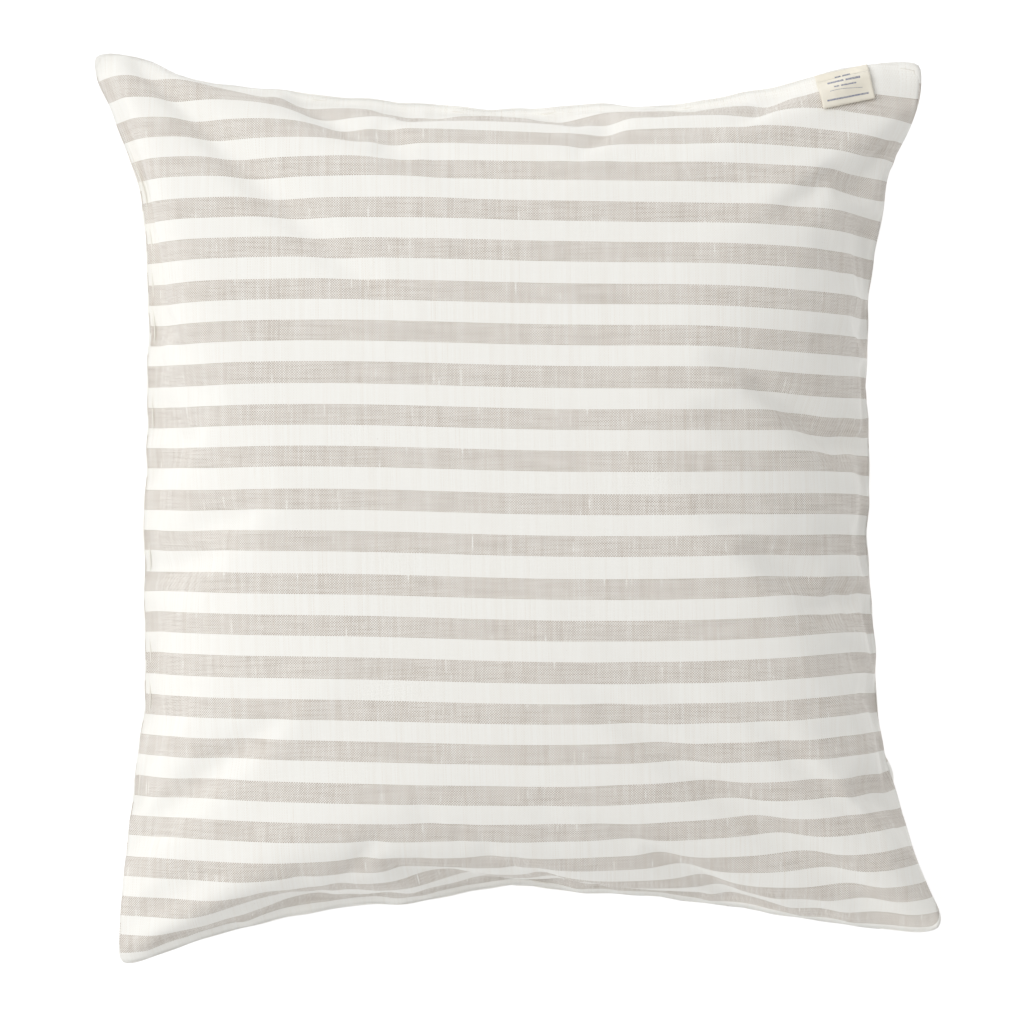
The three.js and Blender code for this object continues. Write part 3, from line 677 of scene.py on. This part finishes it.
# %% [markdown]
# The zip. Its two coils are single strands of nylon, wound into loops and sewn to the tapes. The
# loops of one side sit between the loops of the other along the middle, half a pitch apart, and that
# is what holds the slot shut. The tapes are laid along the zip's arc. The slider's body and pull and
# the stops keep the shape that they were designed with, and only get the small bevels that catch the light.

# %% The zip
COIL_PITCH = 1.25 * MM
COIL_END = ZIP_LENGTH / 2 - 4 * MM


def designed_copy(name, body, *nodes):
    """The designed pieces as one new object in place, which then stands for them."""
    points, faces, start_at = [], [], 0
    for node in nodes:
        source = bpy.data.objects[node]
        world = np.array(source.matrix_world)
        own = np.array([v.co[:] for v in source.data.vertices])
        points.append(own @ world[:3, :3].T + world[:3, 3])
        faces += [[start_at + v for v in p.vertices] for p in source.data.polygons]
        start_at += len(own)
    mesh = bpy.data.meshes.new(name)
    mesh.from_pydata(np.concatenate(points).tolist(), [], faces)
    piece = bpy.data.objects.new(name, mesh)
    bpy.context.scene.collection.objects.link(piece)
    weld = piece.modifiers.new("weld", "WELD")
    weld.merge_threshold = 0.001 * MM
    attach(piece, body)
    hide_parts(*nodes)
    return piece


def bevelled(piece, width, angle=35):
    """Rounds the edges sharper than an angle, and shades the rest smooth."""
    bevel = piece.modifiers.new("rounded edges", "BEVEL")
    bevel.width, bevel.segments = width, 2
    bevel.limit_method, bevel.angle_limit = "ANGLE", math.radians(angle)
    bevel.harden_normals = True
    piece.data.polygons.foreach_set("use_smooth", [True] * len(piece.data.polygons))
    return piece


def tape_weave():
    """A polyester tape, woven in a fine herringbone across its width."""
    material, tree, shader = new_material("woven polyester tape")
    x, y = cloth_coordinates(tree)
    slant = maths(tree, "ADD", x, maths(tree, "PINGPONG", y, 1.2 * MM))
    ribs = maths(tree, "SINE", maths(tree, "MULTIPLY", slant, 2 * math.pi / (0.6 * MM)))
    bump = add_node(tree, "ShaderNodeBump", {"Strength": 0.5, "Distance": 0.05 * MM}, {"Height": ribs})
    tree.links.new(bump.outputs[0], shader.inputs["Normal"])
    shader.inputs["Base Color"].default_value = linear("ebe8df")
    shader.inputs["Roughness"].default_value = 0.7
    shader.inputs["Sheen Weight"].default_value = 0.2
    return material


tape_material = tape_weave()
coil_material = plain_material("nylon coil", "e6e3d8", 0.38, Specular_IOR_Level=0.5, Coat_Weight=0.1)
metal_material = plain_material("nickel-plated zinc", "b9babc", 0.24, Metallic=1.0)

TAPE_TAIL = 9 * MM                               # of tape past each end of the zip, inside the cover
tape_along = np.linspace(-1, 1, 61) * (ZIP_LENGTH / 2 + TAPE_TAIL)

for side, sign in (("upper", -1), ("lower", 1)):
    tape_across = sign * (np.array([0, 3, 7, 11]) + 0.6)[:, None] * MM
    tape_depth = -1.6 * MM - 1.4 * MM * np.clip((np.abs(tape_along) - ZIP_LENGTH / 2) / TAPE_TAIL, 0, 1)
    tape_sag = 1.0 * (np.abs(tape_across) / TAPE_WIDTH) ** 2 * MM      # its outer edge hangs back
    tape_points = zip_points(tape_along[None], tape_across, tape_depth[None] - tape_sag)
    tape_uv = np.dstack(np.broadcast_arrays(tape_along[None], tape_across))
    tape = new_mesh(f"zip_tape_{side}_woven", tape_points,
                    grid_faces(np.arange(4 * len(tape_along)).reshape(4, -1))[:, ::-sign], tape_uv)
    tape_solid = tape.modifiers.new("thickness", "SOLIDIFY")
    tape_solid.thickness, tape_solid.offset = 0.6 * MM, 0
    tape.data.materials.append(tape_material)
    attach(tape, "pillow")
    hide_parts(f"zip_tape_{side}")
    turns = int(2 * COIL_END / COIL_PITCH)
    phase = np.arange(turns * 12 + 1) / 12
    wound = 2 * math.pi * phase
    along = -COIL_END + COIL_PITCH * (phase + (0.5 if sign > 0 else 0) - 0.25)
    coil_path = zip_points(np.clip(along, -COIL_END, COIL_END),
                           sign * (1.15 * MM + 1.2 * MM * np.cos(wound)), 0.72 * MM * np.sin(wound))
    coil = tube(f"zip_coil_{side}_wound", coil_path, 0.28 * MM, 5)
    coil.data.materials.append(coil_material)
    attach(coil, "pillow")
    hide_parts(f"zip_coil_{side}")

for name, body, nodes, width in (
        ("zip_stops_pressed", "pillow",
         ("zip_top_stop_upper", "zip_top_stop_lower", "zip_bottom_stop"), 0.25),
        ("zip_slider_cast", "slider", ("zip_slider",), 0.3), ("zip_pull_cast", "pull", ("zip_pull",), 0.22)):
    piece = bevelled(designed_copy(name, body, *nodes), width * MM)
    piece.data.materials.append(metal_material)


# %% [markdown]
# Topstitching. A sewing machine makes one stitch about every three millimetres. Each shows as a short
# arch of thread whose ends go down through the cloth, so the thread here is one line of points per
# stitch that dips at both ends.

# %% Topstitching beside the zip
STITCH, STITCH_GAP = 2.9 * MM, 0.4 * MM


def stitches(name, starts, place, length=STITCH, radius=0.24 * MM, sides=6):
    """Separate stitches. place(distances, heights) gives the points at distances along their line."""
    share = np.array([0, 0.06, 0.2, 0.5, 0.8, 0.94, 1])
    arch = np.array([-0.45, -0.05, 0.22, 0.3, 0.22, -0.05, -0.45]) * MM
    centres = place(starts[:, None] + length * share[None], np.broadcast_to(arch, (len(starts), 7)))
    run = np.gradient(centres, axis=1)
    run /= np.linalg.norm(run, axis=-1, keepdims=True)
    raised = np.broadcast_to(arch + MM, (len(starts), 7))
    out = place(starts[:, None] + length * share[None], raised) - centres
    side = np.cross(run, out)
    side /= np.linalg.norm(side, axis=-1, keepdims=True)
    up = np.cross(side, run)
    turn = np.linspace(0, 2 * math.pi, sides, endpoint=False)[:, None]
    around = side[..., None, :] * np.cos(turn) + up[..., None, :] * np.sin(turn)
    rings = centres[..., None, :] + radius * around
    ids = np.arange(rings[..., 0].size).reshape(len(starts), 7, sides)
    ring_next = np.roll(ids, -1, axis=2)
    walls = np.stack([ids[:, :-1], ids[:, 1:], ring_next[:, 1:], ring_next[:, :-1]], axis=-1).reshape(-1, 4)
    return new_mesh(name, rings, walls)


for side, sign in (("upper", -1), ("lower", 1)):
    starts = np.arange(-ZIP_LENGTH / 2, ZIP_LENGTH / 2 - STITCH, STITCH + STITCH_GAP)
    row = stitches(f"zip_topstitch_{side}_stitches", starts,
                   lambda along, out: zip_points(along, sign * 6.9 * MM, out + 0.1 * MM))
    row.data.materials.append(thread_material)
    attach(row, "pillow")
    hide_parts(f"zip_topstitch_{side}")


# %% [markdown]
# The label. A short length of cotton tape, folded in half and caught in the top seam, lies on the
# front panel near the corner. The lower fold stands up a little, as a fold in stiff tape does, and it
# carries printed lines in navy: rules and dashes of no particular meaning.

# %% The label
LABEL_WIDTH, LABEL_DROP, LABEL_THICKNESS = 31 * MM, 19.5 * MM, 1.1 * MM
label_corner = np.array([171.4, 249.0]) * MM     # where its upper left corner meets the seam
label_run = np.array([0.976, 0.218])             # along its upper edge
label_fall = np.array([0.205, -0.979])           # down its left edge

front_faces = grid_faces(front_ids - front_ids[0, 0])
front_tree = BVHTree.FromPolygons(front_points.reshape(-1, 3).tolist(), front_faces.tolist())


def resting_height(points):
    """The front panel's height under each point in plan, or the seam's outside the outline."""
    hits = [front_tree.ray_cast(Vector((x, y, 0.3)), Vector((0, 0, -1)))[0] for x, y in points.reshape(-1, 2)]
    return np.array([hit.z if hit else SEAM_HEIGHT for hit in hits]).reshape(points.shape[:-1])


def label_strip(name, down, layers):
    """Part of the label over a range of distances down it, as shares: the under layer if it has two,
    round the fold, and the upper layer."""
    across, steps = np.linspace(0, 1, 25), np.linspace(*down, 14)
    level = np.full(14, LABEL_THICKNESS)
    bulge = np.zeros(14)
    if layers == 2:
        level = np.concatenate([np.zeros(14), np.array([0.15, 0.5, 0.85]) * LABEL_THICKNESS, level])
        bulge = np.concatenate([bulge, np.array([0.3, 0.5, 0.3]) * MM, bulge])
        steps = np.concatenate([steps, np.ones(3), steps[::-1]])
    plan_at = (label_corner + label_run * (across * LABEL_WIDTH)[None, :, None]
               + label_fall * (steps * LABEL_DROP + bulge)[:, None, None])
    seat = resting_height(plan_at)
    smooth = np.stack([np.convolve(np.pad(row, 3, "edge"), np.ones(7) / 7, "valid") for row in seat])
    curl = 1.3 * MM * steps[:, None] ** 3 * (0.6 + 0.8 * (across[None] - 0.4) ** 2)
    height = np.maximum(seat, smooth) + 0.5 * MM + level[:, None] + curl
    uv = np.dstack(np.broadcast_arrays(across[None] * LABEL_WIDTH, (LABEL_DROP * steps)[:, None]))
    uv[:max(len(steps) - 14, 0), :, 1] += 1.0            # only the upper layer is printed
    ids = np.arange(steps.size * across.size).reshape(steps.size, across.size)
    outward = -1 if layers == 2 else 1
    piece = new_mesh(name, np.dstack([plan_at, height]), grid_faces(ids)[:, ::outward], uv)
    thickness = piece.modifiers.new("thickness", "SOLIDIFY")
    thickness.thickness, thickness.offset = 0.35 * MM, -1
    return piece


def label_cloth():
    """Cream cotton tape with a printed pattern of dashes and rules, set out in millimetres."""
    material, tree, shader = new_material("printed cotton tape")
    x, y = cloth_coordinates(tree)
    warp, weft, *_ = weave(tree, x, y, 0.5 * MM, 0.3)
    weave_height = maths(tree, "MAXIMUM", warp, weft)
    ink = 0.0
    bent = maths(tree, "ADD", y, maths(tree, "MULTIPLY", maths(
        tree, "SINE", maths(tree, "MULTIPLY", x, 150.0)), 0.9 * MM))
    # each mark's left and right edge, its height down the label, half its thickness, and its line
    for left, right, middle, half, line in (
            (11, 14.4, 3.6, 0.55, y), (15.4, 20, 3.6, 0.55, y),
            (6, 15.2, 6.3, 0.55, y), (16.4, 25, 6.3, 0.55, y),
            (9, 12, 9.1, 0.4, y), (13, 22, 9.1, 0.4, y),
            (6, 25, 12.0, 0.14, bent), (3, 28, 16.4, 0.5, y)):
        wide = maths(tree, "COMPARE", x, (left + right) / 2 * MM, (right - left) / 2 * MM)
        tall = maths(tree, "COMPARE", line, middle * MM, half * MM)
        ink = maths(tree, "MAXIMUM", ink, maths(tree, "MULTIPLY", wide, tall))
    worn = maths(tree, "MULTIPLY_ADD", noise(tree, x, y, 1200.0, 1200.0, 1.0, 5.0), 1.4, 0.1, clamp=True)
    ink = maths(tree, "MULTIPLY", ink, worn)
    colour = mix(tree, maths(tree, "MULTIPLY", ink, 0.85), linear("efe9da"), linear("4a5a86"))
    tree.links.new(colour, shader.inputs["Base Color"])
    bump = add_node(tree, "ShaderNodeBump", {"Strength": 0.5, "Distance": 0.08 * MM},
                    {"Height": weave_height})
    tree.links.new(bump.outputs[0], shader.inputs["Normal"])
    shader.inputs["Roughness"].default_value = 0.85
    shader.inputs["Sheen Weight"].default_value = 0.2
    return material


# The first few millimetres are held by the seam's stitches. The rest turns about their edge.
LABEL_HELD = 0.19
label_material = label_cloth()
label = label_strip("label_loop_tape", (LABEL_HELD, 1), 2)
label_root = label_strip("label_root_tape", (0, LABEL_HELD), 1)
label.data.materials.append(label_material)
label_root.data.materials.append(label_material)
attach(label, "label_loop")
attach(label_root, "pillow")
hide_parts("label")


# %% [markdown]
# The studio. A white table that gives off a little light of its own, so that it stays white right up
# to the pillow, a white sky, and one very wide soft lamp up to the left.

# %% Table, sky and lamp
floor = new_mesh("table", [(-3, -3, 0), (3, -3, 0), (3, 3, 0), (-3, 3, 0)], [[0, 1, 2, 3]], smooth=False)
floor_material, tree, shader = new_material("white table")
shader.inputs["Base Color"].default_value = linear("b4b4b4")
shader.inputs["Emission Color"].default_value = (1, 1, 1, 1)
shader.inputs["Emission Strength"].default_value = 0.72
floor.data.materials.append(floor_material)

world = bpy.data.worlds.new("white studio")
world.use_nodes = True
world.node_tree.nodes["Background"].inputs[0].default_value = (1, 1, 1, 1)
world.node_tree.nodes["Background"].inputs[1].default_value = 0.545
bpy.context.scene.world = world

LAMP_TILT, LAMP_TURN = math.radians(38), math.radians(158)     # from straight up, and round from +X
lamp = bpy.data.objects.new("soft lamp", bpy.data.lights.new("soft lamp", "SUN"))
lamp.data.energy, lamp.data.angle = 1.56, math.radians(45)
lamp.rotation_euler = (0, LAMP_TILT, LAMP_TURN)
bpy.context.scene.collection.objects.link(lamp)
bpy.context.scene.view_settings.view_transform = "Standard"
